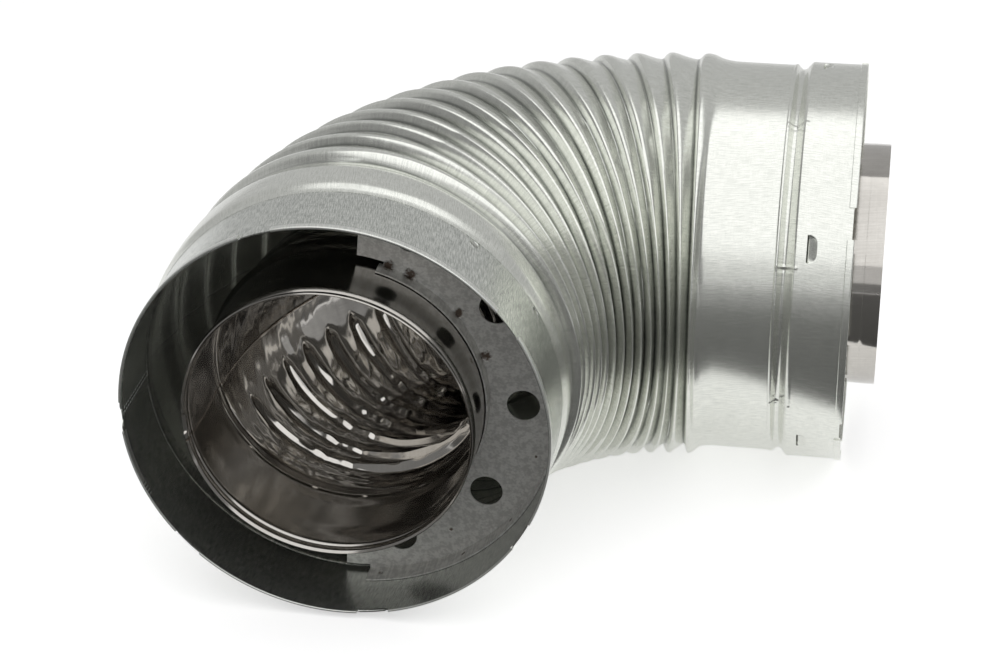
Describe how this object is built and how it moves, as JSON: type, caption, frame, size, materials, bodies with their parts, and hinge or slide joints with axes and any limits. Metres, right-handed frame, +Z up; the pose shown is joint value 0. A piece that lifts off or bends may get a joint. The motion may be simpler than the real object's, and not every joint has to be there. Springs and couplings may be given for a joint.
{
  "type": "vent pipe elbow",
  "caption": "Double-wall vent pipe elbow, 90 degrees: a pleated galvanised outer pipe round a pleated bright liner, with a holed half-ring spacer plate in its front mouth.",
  "frame": {"origin": "centre of the bounding box in plan, on the floor that the elbow lies on", "axes": "+X out of the rear mouth (the socket), -Y out of the front mouth (the spigot), +Z up; the bend lies level"},
  "size_m": [0.2862, 0.259, 0.173],
  "materials": {
    "galvanised": "galvanised sheet, fine grain, satin",
    "bright_liner": "bright rolled stainless sheet, nearly a mirror",
    "galvanised_plate": "galvanised sheet, dull, with burnt spot welds"
  },
  "bodies": {
    "root": {"front_collar": "galvanised", "outer_elbow": "galvanised", "rear_collar": "galvanised", "liner_sleeve": "bright_liner", "liner_elbow": "bright_liner", "spacer_plate": "galvanised_plate"}
  },
  "joints": []
}
